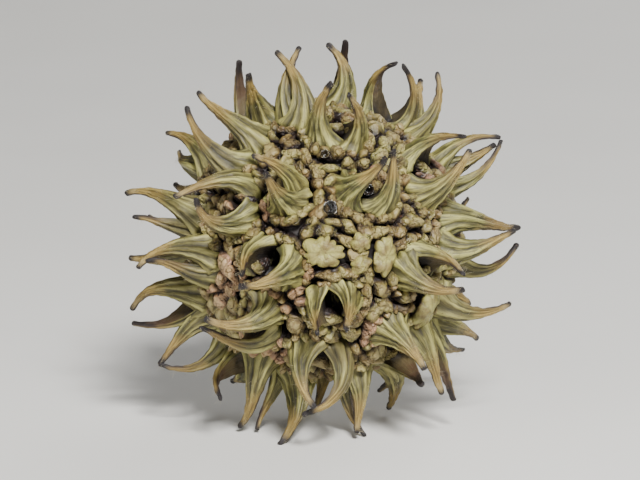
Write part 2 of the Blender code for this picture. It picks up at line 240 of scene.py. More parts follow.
# The stalk's scar, on the far side
SCAR_DIRECTION = Vector((0.30, 0.92, 0.25)).normalized()
SCAR_GROUND = 2.0 * MM
SCAR_RADIUS = 1.9 * MM
SCAR_RIM = 0.75 * MM
SCAR_DROP = 1.6 * MM
SCAR_BASE = 10.7 * MM
SCAR_RINGS = 16
SCAR_SEGMENTS = 64
SCAR_FIBRES = 23
SCAR_BUMPS = (0.6 * MM, 0.12 * MM)
SCAR_TINT = 0.15
SCAR_FOLDS = 0.6

# Dew drops, which are a little flattened and a little uneven
DROP_FINENESS = 4
DROP_HEIGHT = 0.9
DROP_UNEVENNESS = 0.015

FRONT, BACK = 1, -1

# The capsules of the near half: how far each gapes, from 0 to 1, then its two beaks, in mm from the ball's
# centre: root and tip as (right, up), how far the middle bows to the left of the line from root to tip, and
# its side if that isn't the front. A tip's distance toward the eye comes last where it isn't the usual one.
CAPSULES = (
    (0.15, ((5.4, 2.8), (6.0, 7.6), 0.0), ((1.5, 4.0), (5.3, 7.0), -0.4)),
    (0.2, ((-0.6, 8.6), (0.8, 13.3), 0.3), ((3.2, 8.2), (2.2, 12.3), -0.3)),
    (0.2, ((-2.0, 5.0), (-5.8, 7.1), -0.2), ((-2.8, 2.5), (-4.7, 5.7), 0.1)),
    (0.5, ((7.1, 7.4), (12.1, 8.8), 0.3), ((8.3, 3.3), (12.5, 7.7), -0.3)),
    (0.3, ((3.7, 10.8), (6.4, 15.1), 0.8), ((7.1, 9.6), (6.8, 15.0), -0.7)),
    (0.2, ((1.7, 11.1), (0.4, 16.8), -0.8), ((1.4, 10.5), (2.0, 17.1), 0.0, BACK)),
    (0.3, ((-1.1, 9.9), (-3.9, 16.1), -0.5), ((-3.2, 10.1), (-1.9, 16.5), 0.3)),
    (0.3, ((-4.4, 9.8), (-6.1, 14.1), 0.3), ((-6.0, 9.3), (-7.1, 15.4), 0.2, BACK)),
    (0.4, ((-5.0, 8.4), (-10.5, 12.7), 0.4), ((-7.3, 5.6), (-11.5, 11.4), 0.5)),
    (0.4, ((-8.8, 6.9), (-13.4, 9.3), -0.4, BACK), ((-9.7, 5.4), (-12.4, 7.7), 0.3, BACK)),
    (0.3, ((-6.1, 5.1), (-12.4, 3.7), -0.2), ((-6.4, 1.1), (-10.5, 3.6), 1.0)),
    (0.3, ((-10.0, 2.3), (-16.8, 4.1), -0.7), ((-10.7, 0.4), (-16.0, 2.0), -0.3)),
    (0.4, ((-9.2, -0.4), (-15.6, -2.3), -0.8), ((-9.4, -3.3), (-14.8, -1.7), -0.5)),
    (0.4, ((-10.2, -4.0), (-16.2, -5.9), -1.2), ((-10.3, -6.0), (-16.2, -7.0), 0.5, BACK)),
    (0.5, ((-9.7, -5.5), (-13.9, -10.5), 0.0), ((-7.6, -8.6), (-13.9, -10.5), 0.9)),
    (0.3, ((-3.9, -5.4), (-9.8, -6.4), 0.8), ((-4.6, -8.2), (-10.2, -7.2), 0.2)),
    (0.3, ((-1.9, -2.2), (-6.9, -3.8), 0.3), ((-6.0, -0.5), (-6.7, -2.8), 0.0)),
    (0.7, ((10.1, 2.2), (16.9, 1.2), -0.3), ((10.3, -1.3), (16.4, 0.9), -0.1)),
    (0.4, ((11.1, -2.5), (16.7, -0.2), -0.8, BACK), ((9.4, -5.3), (16.1, -5.3), -0.6)),
    (0.4, ((8.5, -0.6), (11.9, -2.8), 0.2), ((6.3, -2.6), (11.9, -4.0), -0.6)),
    (0.5, ((5.3, -6.7), (8.6, -10.8), 0.2), ((6.0, -9.4), (8.4, -12.2), 0.2)),
    (0.3, ((7.7, -6.9), (10.2, -13.0), 0.0), ((9.0, -7.6), (11.3, -13.6), 0.0, BACK)),
    (0.3, ((10.0, -6.5), (13.4, -8.4), 0.2, BACK), ((9.2, -8.4), (12.2, -9.4), -0.3, BACK)),
    (0.1, ((3.2, -10.3), (3.0, -16.3), 0.0), ((1.4, -11.1), (3.7, -16.6), -0.3, FRONT, 1.4)),
    (0.3, ((5.6, -10.6), (5.7, -14.5), 0.4, BACK), ((6.3, -9.8), (5.0, -13.0), 0.0, BACK)),
    (0.9, ((-1.9, -8.6), (-0.6, -14.0), -0.5), ((2.0, -9.3), (-1.7, -14.6), 1.0)),
    (0.2, ((-5.1, -9.4), (-7.1, -15.9), 0.5), ((-2.9, -11.0), (-5.5, -16.1), -0.3)),
    (0.2, ((-2.0, -10.8), (-3.7, -17.2), 0.7, FRONT, 4.2), ((-0.9, -10.6), (-2.4, -14.8), 0.0, BACK, -5.5)),
    (0.05, ((-7.8, -10.6), (-8.5, -13.4), -1.0), ((-5.8, -10.8), (-7.7, -12.2), 0.0, BACK)),
    (0.5, ((-0.9, -5.3), (-0.4, -7.7), 0.0), ((2.6, -4.2), (2.0, -7.4), 0.0)),
    (0.2, ((10.1, 7.4), (15.2, 8.8), 0.6, BACK), ((11.1, 4.1), (15.3, 8.6), -0.5, BACK),
     ((10.9, 5.6), (14.8, 8.2), 0.0)),
    (0.3, ((8.7, 9.3), (9.8, 14.4), -0.7), ((7.8, 9.9), (8.5, 13.9), 0.0, BACK)),
    (0.3, ((0.6, -9.4), (-0.4, -14.5), 0.0, BACK), ((0.2, -6.5), (0.4, -9.5), 0.0, BACK)),
)
# Capsules that never filled: a bare patch of knobs in the middle of the front
BARE_PATCHES = ((1.0, -0.3), (4.6, -1.0))

# Flat plates that stand out among the knobs: place (right, up) and half sizes in mm, how far the long one is
# turned from level in degrees, and how many lobes the outline has
PLATES = (
    ((0.1, -0.9), (1.6, 1.5), 0, 11),
    ((3.1, -0.1), (0.95, 0.8), -20, 5),
    ((3.1, -1.9), (0.95, 0.8), 10, 3),
    ((5.0, -1.2), (1.9, 0.95), 80, 7),
    ((8.4, -5.6), (2.0, 1.05), 75, 9),
)
# Beans and folded lobes that the photo shows one by one: place (right, up), half sizes, how far the long one
# is turned from level in degrees, how far their feet stand from the ball's centre, and their tint
BEANS = (
    ((0.1, -2.8), (1.0, 0.42), 0, 11.3, 0.2),
    ((1.65, -2.6), (0.66, 0.55), 10, 11.3, 0.5),
    ((0.25, -3.6), (0.9, 0.45), -8, 11.1, 0.1),
    ((2.6, -3.1), (0.4, 0.42), 0, 11.2, 0.4),
    ((3.35, -3.15), (0.42, 0.45), 0, 11.2, 0.4),
    ((0.85, 1.5), (1.15, 0.48), -5, 11.3, 0.4),
    ((3.0, 1.9), (1.35, 0.65), -25, 11.0, 0.35),
    ((0.65, 6.0), (1.2, 0.42), 3, 11.2, 0.6),
    ((2.4, 7.1), (0.85, 0.5), -20, 11.2, 0.15),
    ((4.3, 5.9), (0.95, 0.4), 30, 11.3, 1.0),
    ((4.2, 5.1), (0.6, 0.3), 15, 11.0, 0.1),
    ((9.6, 6.0), (1.2, 0.5), 65, 11.6, 1.0),
    ((8.9, 5.2), (1.3, 0.45), 12, 11.4, 1.0),
    ((-6.6, 3.6), (1.1, 0.45), -20, 11.6, 0.1),
    ((-7.6, 2.9), (0.9, 0.4), -35, 11.8, 0.95),
    ((-4.2, 3.6), (1.2, 0.45), -75, 11.5, 0.1),
    ((-0.3, -11.4), (1.2, 0.7), 85, 9.0, 0.95),
    ((1.0, -6.9), (0.85, 0.8), 70, 10.6, 0.45),
)
# Hollows that hold no knob, where the head's painted shade shows: place (right, up) and size in mm
HOLLOWS = (((1.9, -1.4), 0.9), ((-1.6, 4.3), 1.4), ((-4.0, -1.4), 1.5))
# Where the knobs are pinkish and where they are pale: place (right, up) and size in mm
PINK_PATCHES = (((-8.2, -3.0), 3.0), ((-4.8, -8.8), 2.6), ((-2.1, -4.4), 1.8), ((-4.5, 3.5), 1.5),
                ((3.5, -8.0), 2.0))
PALE_PATCHES = (((8.6, -4.6), 3.0), ((6.5, 7.0), 2.5), ((7.5, -9.5), 1.5))
# Dew drops: place (right, up), radius, and how far their middles stand from the ball's, in mm
DROPS = (
    ((3.85, 4.3), 0.5, 11.8),
    ((0.7, 2.8), 0.62, 12.2),
    ((0.25, 7.3), 0.38, 11.95),
    ((-0.2, 0.75), 0.32, 12.1),
    ((3.9, 0.35), 0.22, 12.15),
    ((7.4, 0.1), 0.18, 12.0),
    ((-2.7, 2.0), 0.18, 12.0),
)

Beak = namedtuple("Beak", "curve inward")
Capsule = namedtuple("Capsule", "mouth along gape beaks")
Shape = namedtuple("Shape", "half_sizes lobes lobe_depth flatness")


def in_view(right, up, toward):
    """A point of the front view, given in mm, as a vector in metres."""
    return Vector((right, -toward, up)) * MM


def on_ball(place, radius, side):
    """The point that the front view shows at this place, on a ball of this radius."""
    right, up = place
    hidden = (radius / MM) ** 2 - right**2 - up**2
    return in_view(right, up, side * sqrt(max(hidden, 0.0)))


def front_direction(place):
    """The way from the ball's centre to a place in the front view."""
    return on_ball(place, CORE_RADIUS, FRONT).normalized()


def turned_level(degrees):
    """The level direction of the front view, turned by this angle."""
    return Vector((cos(radians(degrees)), 0.0, sin(radians(degrees))))


def floor_up():
    """The floor's upward direction in the front view's frame."""
    return Vector((0.0, -sin(VIEW_TILT), cos(VIEW_TILT)))


def beak_between(root, tip, bow, mouth, hidden):
    """A beak that leaves the ball squarely at its root and bends over to its tip.

    Its open side looks to the mouth, to the side it leans over, and to the hidden direction.
    """
    chord = tip - root
    out = root.normalized()
    sideways = Vector((-chord.z, 0.0, chord.x))
    bend = sideways.normalized() * bow if sideways.length > 0 else Vector()
    curve = (
        root,
        root + out * chord.length * ROOT_HANDLE + bend * ROOT_BOW,
        tip - chord * TIP_HANDLE + bend * TIP_BOW,
        tip,
    )
    lean = chord - out * chord.dot(out)
    inward = (mouth - root).normalized() + lean * (SKIRT_TURN / chord.length) + hidden
    return Beak(curve, inward.normalized())


def capsule_between(gape, *lines):
    """A capsule from its line in CAPSULES."""
    ends = []
    for root, tip, bow, *rest in lines:
        side, *toward = rest or [FRONT]
        tip_point = in_view(*tip, *toward) if toward else on_ball(tip, TIP_RADIUS, side)
        root_point = on_ball(root, CORE_RADIUS, side).normalized() * CORE_RADIUS
        hidden = Vector((0.0, VIEW_TURN if side == FRONT else 0.0, 0.0))
        ends.append((root_point, tip_point, bow * MM, hidden))
    mouth = ((ends[0][0] + ends[1][0]) / 2).normalized() * CORE_RADIUS
    beaks = [beak_between(root, tip, bow, mouth, hidden) for root, tip, bow, hidden in ends]
    return Capsule(mouth, (ends[0][0] - ends[1][0]).normalized(), gape, beaks)


def spread_directions(count):
    """Directions spread evenly over the whole ball, along one long spiral."""
    golden = pi * (3 - sqrt(5))
    found = []
    for i in range(count):
        height = 1 - (2 * i + 1) / count
        around = sqrt(1 - height * height)
        found.append(Vector((cos(golden * i) * around, sin(golden * i) * around, height)))
    return found


def far_capsule(direction, draw):
    """A capsule of the far half, which the front view doesn't show, as the near ones are shaped."""
    mouth = direction * CORE_RADIUS
    along = direction.orthogonal().normalized()
    along.rotate(Matrix.Rotation(draw.uniform(0, pi), 3, direction))
    across = direction.cross(along)
    lean = across * draw.uniform(-CAPSULE_LEAN, CAPSULE_LEAN)
    beaks = []
    for side in (1, -1):
        root = (mouth + along * side * ROOT_OFFSET).normalized() * CORE_RADIUS
        aside = along * side * draw.uniform(*TIP_ALONG) + across * draw.uniform(-TIP_ACROSS, TIP_ACROSS)
        tip = (direction * TIP_RADIUS + aside + lean) * draw.uniform(*TIP_REACH)
        short_by = FAR_TIP_CLEARANCE - tip.dot(floor_up()) - CENTRE_HEIGHT
        if short_by > 0:
            tip += floor_up() * short_by
        beaks.append(beak_between(root, tip, draw.uniform(-FAR_BOW, FAR_BOW), mouth, Vector()))
    return Capsule(mouth, along, draw.uniform(*FAR_GAPE), beaks)


def all_capsules():
    """The near capsules as they are seen, then far ones wherever the widest gap is left."""
    draw = random.Random(SEED)
    capsules = [capsule_between(*lines) for lines in CAPSULES]
    taken = [capsule.mouth for capsule in capsules]
    taken += [on_ball(place, CORE_RADIUS, FRONT) for place in BARE_PATCHES]
    taken.append(SCAR_DIRECTION * CORE_RADIUS)
    free = [d for d in spread_directions(FAR_CHOICES) if d.y > FAR_HALF]
    while True:
        gaps = [min((d * CORE_RADIUS - mouth).length for mouth in taken) for d in free]
        widest = max(gaps)
        if widest < CAPSULE_PITCH:
            return capsules
        direction = free[gaps.index(widest)]
        taken.append(direction * CORE_RADIUS)
        capsules.append(far_capsule(direction, draw))


def waves(points, size, seed):
    """Smooth random relief, mostly between -1 and 1, whose bumps are about this size."""
    rng = np.random.default_rng(seed)
    directions = rng.normal(size=(WAVE_COUNT, 3))
    directions /= np.linalg.norm(directions, axis=1, keepdims=True)
    directions *= rng.uniform(*WAVE_SPREAD, (WAVE_COUNT, 1)) * 2 * pi / size
    phases = rng.uniform(0, 2 * pi, WAVE_COUNT)
    return np.sin(points @ directions.T + phases).sum(axis=1) / sqrt(WAVE_COUNT)


def bumps(points, layers, draw):
    """Relief made of layers of waves, each given by its size and its height."""
    return sum(height * waves(points, size, draw.randrange(SEEDS)) for size, height in layers)


def fade(start, end, t, power):
    """From start at the root to end at the tip, most of the change being near the root."""
    return end + (start - end) * (1 - np.clip(t, 0, 1)) ** power


def between(pair, share):
    return pair[0] + (pair[1] - pair[0]) * share


def grid_faces(rows, columns):
    """Quads of a tube with this many rings of this many points."""
    faces = []
    for i in range(rows - 1):
        for j in range(columns):
            k = (j + 1) % columns
            low = i * columns
            faces.append((low + j, low + columns + j, low + columns + k, low + k))
    return faces


def tube_faces(rows, columns):
    """Quads of a tube, and a cap on each end."""
    last = (rows - 1) * columns
    caps = [tuple(range(columns)), tuple(last + j for j in reversed(range(columns)))]
    return grid_faces(rows, columns) + caps


def turns(count):
    """Angles evenly round a circle, as one row."""
    return np.linspace(0, 2 * pi, count, endpoint=False)[None, :]


def round_points(half_sizes, reach, around, height):
    """Points in rings round an axis, from how far out and how high each is, of these half sizes."""
    wide, deep, tall = half_sizes
    rows = (wide * reach * np.cos(around), deep * reach * np.sin(around), tall * (height + 0 * around))
    return np.stack(rows, axis=-1).reshape(-1, 3)


def linked(name, data):
    made = bpy.data.objects.new(name, data)
    bpy.context.scene.collection.objects.link(made)
    return made


class Surface:
    """Points, faces and per-point values gathered for one piece."""

    def __init__(self):
        self.points = []
        self.faces = []
        self.values = {}
        self.count = 0

    def add(self, points, faces, **values):
        self.points.append(points)
        self.faces += [tuple(i + self.count for i in face) for face in faces]
        for name, value in values.items():
            self.values.setdefault(name, []).append(np.broadcast_to(value, len(points)))
        self.count += len(points)

    def piece(self, name, material):
        """Makes the piece, turned upright and set down on the floor."""
        turn = np.array(Matrix.Rotation(-VIEW_TILT, 3, "X"))
        points = np.concatenate(self.points) @ turn.T + np.array(BALL_OFFSET)
        points[:, 2] = np.maximum(points[:, 2] + CENTRE_HEIGHT, 0.0)
        mesh = bpy.data.meshes.new(name)
        mesh.from_pydata(points.tolist(), [], self.faces)
        for key, parts in self.values.items():
            layer = mesh.attributes.new(key, "FLOAT", "POINT")
            layer.data.foreach_set("value", np.concatenate(parts).astype(np.float32))
        mesh.shade_smooth()
        made = linked(name, mesh)
        made.data.materials.append(material)
        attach(made, BODY)
        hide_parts(NODE)


def chord_length(beak):
    return (beak.curve[3] - beak.curve[0]).length


def frames_along(beak, stations):
    """Points and directions of a beak's centreline: forward, in toward the mouth, and sideways."""
    a, b, c, d = beak.curve
    inward = beak.inward
    rows = []
    for t in stations:
        u = 1 - t
        point = a * u**3 + b * 3 * u * u * t + c * 3 * u * t * t + d * t**3
        forward = ((b - a) * u * u + (c - b) * 2 * u * t + (d - c) * t * t).normalized()
        inward = (inward - forward * inward.dot(forward)).normalized()
        rows.append((point, forward, inward, forward.cross(inward)))
    return [np.array([row[i] for row in rows]) for i in range(4)]


def section_places():
    """Places round a beak's section: across it from -1 to 1, and 1 outside or -1 inside."""
    outer = np.linspace(-1, 1, OUTER_POINTS)
    outer = (1 - RIM_CROWDING) * outer + RIM_CROWDING * np.sin(outer * pi / 2)
    inner = np.cos(np.linspace(0, pi, INNER_POINTS + 2)[1:-1])
    across = np.concatenate([outer, inner])
    face = np.concatenate([np.ones(OUTER_POINTS), -np.ones(INNER_POINTS)])
    return across, face


def pleats_at(across, t, draw):
    """How far each place stands out on a pleat, 0 in a groove and 1 on a crest; the skirt's painted
    highlights and painted shade follow it.
    """
    count = draw.choice(PLEATS)
    phase = draw.uniform(0, 1)
    (far_along, often_along), (far_across, often_across) = PLEAT_WANDER
    wander = far_along * np.sin(often_along * t + draw.uniform(*PHASES))
    wander = wander + far_across * np.sin(often_across * across + draw.uniform(*PHASES))
    place = count * (across + 1 + wander) / 2 + phase
    crest = np.abs(np.sin(pi * place)) ** PLEAT_SHARPNESS
    swell = np.sin(np.floor(place) * 2.4 + draw.uniform(*PHASES))
    uneven = 1 - PLEAT_UNEVENNESS * (1 - swell)
    fine = np.abs(np.sin(2 * pi * place + 1.1)) * np.clip(1 - t / FINE_PLEAT_END, 0, 1)
    return np.clip(crest * uneven + FINE_PLEAT * fine, 0, 1)


def beak_stations(size):
    """Places along a beak, from under the ground to the tip, and how far the tip has closed at each."""
    below = np.linspace(-ROOT_SINK / size, 0, SUNK_STATIONS + 1)[:-1]
    body = np.linspace(0, 1 - TIP_ROUNDING, STATIONS - SUNK_STATIONS)
    turn = np.linspace(0, pi / 2, TIP_STATIONS + 1)[1:]
    stations = np.concatenate([below, body, 1 - TIP_ROUNDING + TIP_ROUNDING * np.sin(turn)])
    return stations, np.concatenate([np.ones(STATIONS), np.maximum(np.cos(turn), TIP_END)])


def section_grid(t, a, outside, pleat, size, gape):
    """Offsets of a beak's points from its spine: sideways, and in toward the mouth."""
    taper = 1 - TIP_TAPER * np.clip((t - TAPER_START) / (1 - TAPER_START), 0, 1)
    round_radius = fade(between(SKIRT_RADIUS, gape), HORN_RADIUS, t, WIDTH_FADE) * taper
    wrap = fade(between(SKIRT_WRAP, gape), HORN_WRAP, t, WRAP_FADE)
    away_from_rim = np.sqrt(np.clip(1 - np.abs(a) ** 6, 0, 1))
    relief = PLEAT_HEIGHT * np.clip(1 - t / PLEAT_END, 0, 1) ** 0.9 * (pleat - 0.5)
    foot = FOOT_FLARE * np.clip(1 - t / FOOT_END, 0, 1) ** 2
    tuck = ROOT_TUCK * np.clip(-t * size / ROOT_SINK, 0, 1) ** 1.5
    radius = round_radius + (relief + foot) * away_from_rim - tuck
    depth = round_radius * (1 - np.cos(wrap))
    hollow = between(SKIRT_HOLLOW, gape) * np.clip(1 - t, 0, 1) * (1 - np.abs(a) ** 3)
    bulge = HORN_BULGE * round_radius * np.clip(t, 0, 1) * (1 - a**2)
    groove = CHANNEL_DEPTH * np.exp(-((a / CHANNEL_WIDTH) ** 2))
    channel = groove * np.clip((t - CHANNEL_START) / CHANNEL_FADE, 0, 1)
    x = np.where(outside, np.sin(wrap * a) * radius, a * round_radius * np.sin(wrap))
    y = np.where(outside, round_radius - np.cos(wrap * a) * radius, depth * (1 - hollow) + bulge - channel)
    return x, y - SPINE_OUT * taper


def beak_points(beak, stations, shrink, across, outside, pleat, gape, draw):
    """The points of a beak in rings, one for each station."""
    size = chord_length(beak)
    point, forward, inward, sideways = frames_along(beak, np.maximum(stations, 0))
    point = point + forward * (np.minimum(stations, 0) * size)[:, None]
    x, y = section_grid(stations[:, None], across[None, :], outside[None, :], pleat, size, gape)
    x = x * shrink[:, None]
    y = y * shrink[:, None]
    offset = sideways[:, None, :] * x[..., None] + inward[:, None, :] * y[..., None]
    grid = point[:, None, :] + offset
    away = offset / np.maximum(np.linalg.norm(offset, axis=2, keepdims=True), 1e-9)
    ruffle = waves(grid.reshape(-1, 3), RUFFLE_SIZE, draw.randrange(SEEDS)).reshape(grid.shape[:2])
    return (grid + away * ruffle[..., None] * RUFFLE).reshape(-1, 3)


def add_beak(surface, beak, gape, draw):
    """One fine beak: pleated skirt, horn and rounded tip, with a shallow dark inner face."""
    stations, shrink = beak_stations(chord_length(beak))
    across, face = section_places()
    pleat = pleats_at(across[None, :], stations[:, None], draw)
    rows, columns = len(stations), len(across)
    surface.add(
        beak_points(beak, stations, shrink, across, face > 0, pleat, gape, draw),
        tube_faces(rows, columns),
        along=np.repeat(stations, columns),
        across=np.tile(across, rows),
        # The pleat height, which the material turns into painted highlight on crests and painted shade in
        # grooves
        crest=pleat.reshape(-1),
        inside=np.tile(face < 0, rows).astype(float),
        tint=draw.random(),
    )


def add_fuzz(surface, beak, draw):
    """Hairs that stand on the horn of a beak, each a thin three-sided needle with a slight curl."""
    places = sorted(draw.uniform(FUZZ_START, 1.0) for _ in range(FUZZ_COUNT))
    for point, forward, inward, sideways in zip(*frames_along(beak, places)):
        angle = draw.uniform(-FUZZ_WRAP, FUZZ_WRAP)
        way = sideways * sin(angle) - inward * cos(angle)
        way = way + forward * draw.uniform(*FUZZ_LEAN) + sideways * draw.gauss(0, FUZZ_SPREAD)
        way /= np.linalg.norm(way)
        first = np.cross(way, forward)
        first /= np.linalg.norm(first)
        second = np.cross(way, first)
        reach = draw.uniform(*FUZZ_REACH)
        rings = []
        for share in FUZZ_JOINTS:
            middle = point + way * reach * share + first * reach * FUZZ_CURL * share**2
            radius = FUZZ_RADIUS * (1 - FUZZ_TAPER * share)
            for turn in turns(3)[0]:
                rings.append(middle + (first * cos(turn) + second * sin(turn)) * radius)
        surface.add(np.array(rings), tube_faces(3, 3))


def local_axes(direction, long_side):
    """Three axes at a place on the ball: the long side, the short side, and straight out."""
    first = (long_side - direction * long_side.dot(direction)).normalized()
    return np.array((first, direction.cross(first), direction))


def lump_points(shape, rings, segments, turn):
    """A lump's points round its own foot, and its painted light, from 0 (painted shade in a fold and at the
    foot) to 1 (painted highlight on top).
    """
    lean = np.linspace(0, KNOB_LEAN, rings + 1)[1:, None]
    around = turns(segments)
    lobe = np.abs(np.cos(shape.lobes * (around + 0.25 * np.sin(around + turn)) / 2 + turn)) ** 0.6
    edge = np.sin(lean) ** 3
    reach = np.sin(lean) ** (1 - 0.5 * shape.flatness) * (1 + shape.lobe_depth * (lobe - 0.6) * edge)
    height = np.cos(lean) * (1 - shape.flatness * (1 - edge) * 0.3)
    height = height - shape.lobe_depth * (1 - lobe) * edge * 0.6
    local = round_points(shape.half_sizes, reach, around, height)
    top = [[0.0, 0.0, shape.half_sizes[2] * (1 - shape.flatness * 0.3)]]
    # Painted light: paler toward the top, painted shade toward the foot and in the folds between lobes
    painted_light = np.cos(lean) - 0.5 * (1 - lobe) * edge + 0 * around
    return np.concatenate([local, top]), np.concatenate([painted_light.reshape(-1), [1.0]])


def lump_relief(local, size, draw):
    """Bumps and creases on a lump, as a share of its size."""
    relief = bumps(local, [(width * size, height) for width, height in KNOB_BUMPS], draw)
    for width, depth in KNOB_CREASES:
        crease = waves(local, width * size, draw.randrange(SEEDS))
        relief -= depth * np.exp(-((crease / CREASE_WIDTH) ** 2))
    return relief


def flattened(local, half_sizes, draw):
    """Presses flats into a lump from all sides, and says how pale each point is painted after it: pressed
    points get painted shade.
    """
    pressed = np.zeros(len(local))
    shape = np.array(half_sizes)
    for _ in range(FLAT_COUNT):
        facing = np.array([draw.gauss(0, 1), draw.gauss(0, 1), abs(draw.gauss(0, FLAT_RISE))])
        facing /= np.linalg.norm(facing)
        limit = draw.uniform(*FLAT_REACH) * np.linalg.norm(facing * shape)
        excess = np.maximum(local @ facing - limit, 0) * FLAT_STRENGTH
        local = local - excess[:, None] * facing
        pressed += excess / shape.min()
    return local, FLAT_SHADE - pressed


def add_lump(surface, centre, axes, shape, tint, draw, rings=KNOB_RINGS):
    """One knob or bean: a dome with rounded lobes that bulges over its own foot."""
    segments = 2 * rings + 4
    local, painted_light = lump_points(shape, rings, segments, draw.uniform(0, 2 * pi))
    relief = lump_relief(local, sum(shape.half_sizes) / 3, draw)
    local, flat_shading = flattened(local * (1 + relief)[:, None], shape.half_sizes, draw)
    top = rings * segments
    foot = top - segments
    faces = grid_faces(rings, segments)
    faces += [(j, (j + 1) % segments, top) for j in range(segments)]
    faces.append(tuple(foot + j for j in reversed(range(segments))))
    # Painted light and shade: paler on top and on bumps, darker in creases, at the foot and on the flats
    crest = np.clip(painted_light + RELIEF_SHADE * relief + flat_shading, 0, 1)
    surface.add(local @ axes + np.array(centre), faces, crest=crest, tint=tint, folded=1.0)


def collar_of(beak, gape):
    """Places on the ground in a row round the outer foot of a skirt."""
    root = beak.curve[0]
    out = root.normalized()
    inward = (beak.inward - out * beak.inward.dot(out)).normalized()
    sideways = out.cross(inward)
    radius = between(SKIRT_RADIUS, gape)
    middle = root + inward * radius
    places = []
    for i in range(COLLAR_COUNT):
        angle = COLLAR_SPAN * (i / (COLLAR_COUNT - 1) - 0.5)
        arm = sideways * sin(angle) - inward * cos(angle)
        places.append((middle + arm * (radius + COLLAR_GAP)).normalized() * CORE_RADIUS)
    return places


def knob_candidates(capsules):
    """Places for knobs in order of choice, each with how far off the others must be: collars come first."""
    candidates = []
    for capsule in capsules:
        for beak in capsule.beaks:
            candidates += [(place, COLLAR_PITCH) for place in collar_of(beak, capsule.gape)]
    ground = spread_directions(GROUND_PLACES)
    random.Random(SEED).shuffle(ground)
    return candidates + [(direction * CORE_RADIUS, KNOB_PITCH) for direction in ground]


def bare_places():
    """Places without knobs and their sizes: the scar, the hollows, and under each plate and bean."""
    bare = [(SCAR_DIRECTION * CORE_RADIUS, SCAR_GROUND)]
    for rows, share in ((PLATES, PLATE_CLEARANCE), (BEANS, BEAN_CLEARANCE)):
        for place, sizes, *_ in rows:
            bare.append((front_direction(place) * CORE_RADIUS, max(sizes) * share * MM))
    return bare + [(on_ball(place, CORE_RADIUS, FRONT), size * MM) for place, size in HOLLOWS]


def knob_places(capsules):
    """Where the knobs stand: a collar round each skirt, then the rest of the ground, as close as they fit.

    Each place comes with the way in to the nearest mouth, and whether it is in a collar.
    """
    mouths = np.array([capsule.mouth for capsule in capsules])
    alongs = np.array([capsule.along for capsule in capsules])
    gapes = np.array([capsule.gape for capsule in capsules])
    clear_along, clear_across = between(CLEAR_ALONG, gapes), between(CLEAR_ACROSS, gapes)
    bare = bare_places()
    found = []
    kept = []
    for place, pitch in knob_candidates(capsules):
        point = np.array(place)
        away = point - mouths
        along = (away * alongs).sum(axis=1)
        across = np.sqrt(np.maximum((away**2).sum(axis=1) - along**2, 0))
        if ((along / clear_along) ** 2 + (across / clear_across) ** 2 < 1).any():
            continue
        if kept and (np.linalg.norm(np.array(kept) - point, axis=1) < pitch).any():
            continue
        if any((place - centre).length < size for centre, size in bare):
            continue
        kept.append(point)
        nearest = Vector(mouths[int((away**2).sum(axis=1).argmin())])
        found.append((place.normalized(), nearest - place, pitch == COLLAR_PITCH))
    return found


def near_patch(direction, patches):
    """How near a place on the ball is to any of these patches, from 0 to 1."""
    nearness = 0.0
    for place, size in patches:
        away = (direction * CORE_RADIUS - on_ball(place, CORE_RADIUS, FRONT)).length / (size * MM)
        nearness = max(nearness, exp(-away * away))
    return nearness


def knob_tint(direction, draw):
    """Tan to olive at random, but pinkish or pale in the patches that are."""
    if near_patch(direction, PINK_PATCHES) > draw.uniform(*PATCH_EDGE):
        return draw.uniform(*PINK_TINTS)
    if near_patch(direction, PALE_PATCHES) > draw.uniform(*PATCH_EDGE):
        return draw.uniform(*PALE_TINTS)
    return draw.uniform(*PLAIN_TINTS)


def knob_shape(draw):
    size = KNOB_RADIUS * draw.uniform(*KNOB_SPREAD)
    kind = draw.random()
    stretch, lobes, lobe_depth, flatness = next(rest for limit, *rest in KNOB_KINDS if kind < limit)
    return Shape([size * share for share in stretch], draw.choice(lobes), lobe_depth, flatness)


def collar_shape(draw):
    size = COLLAR_KNOB * draw.uniform(*COLLAR_SPREAD)
    sizes = (size * draw.uniform(*COLLAR_WIDTH), size, size * draw.uniform(*COLLAR_HEIGHT))
    return Shape(sizes, draw.choice(COLLAR_LOBES), *COLLAR_FORM)


def add_knobs(surfaces, capsules):
    """The knobs, long ones lying round the nearest skirt, and smaller ones in the collars."""
    draw = random.Random(SEED + 1)
    for direction, inward, in_collar in knob_places(capsules):
        axes = local_axes(direction, direction.cross(inward))
        surface = surfaces[0] if direction.y < 0 else surfaces[1]
        if in_collar:
            shape, tint = collar_shape(draw), knob_tint(direction, draw)
            add_lump(surface, direction * KNOB_BASE, axes, shape, tint, draw, COLLAR_RINGS)
        else:
            centre = direction * KNOB_BASE * draw.uniform(*KNOB_BASE_SPREAD)
            tint = knob_tint(direction, draw)
            add_lump(surface, centre, axes, knob_shape(draw), tint, draw)


def add_beans(surface):
    draw = random.Random(SEED + 4)
    for place, sizes, turned, reach, tint in BEANS:
        direction = on_ball(place, reach * MM, FRONT).normalized()
        shape = Shape((sizes[0] * MM, sizes[1] * MM, BEAN_HEIGHT), *BEAN_LOBES)
        axes = local_axes(direction, turned_level(turned))
        add_lump(surface, direction * reach * MM, axes, shape, tint, draw)


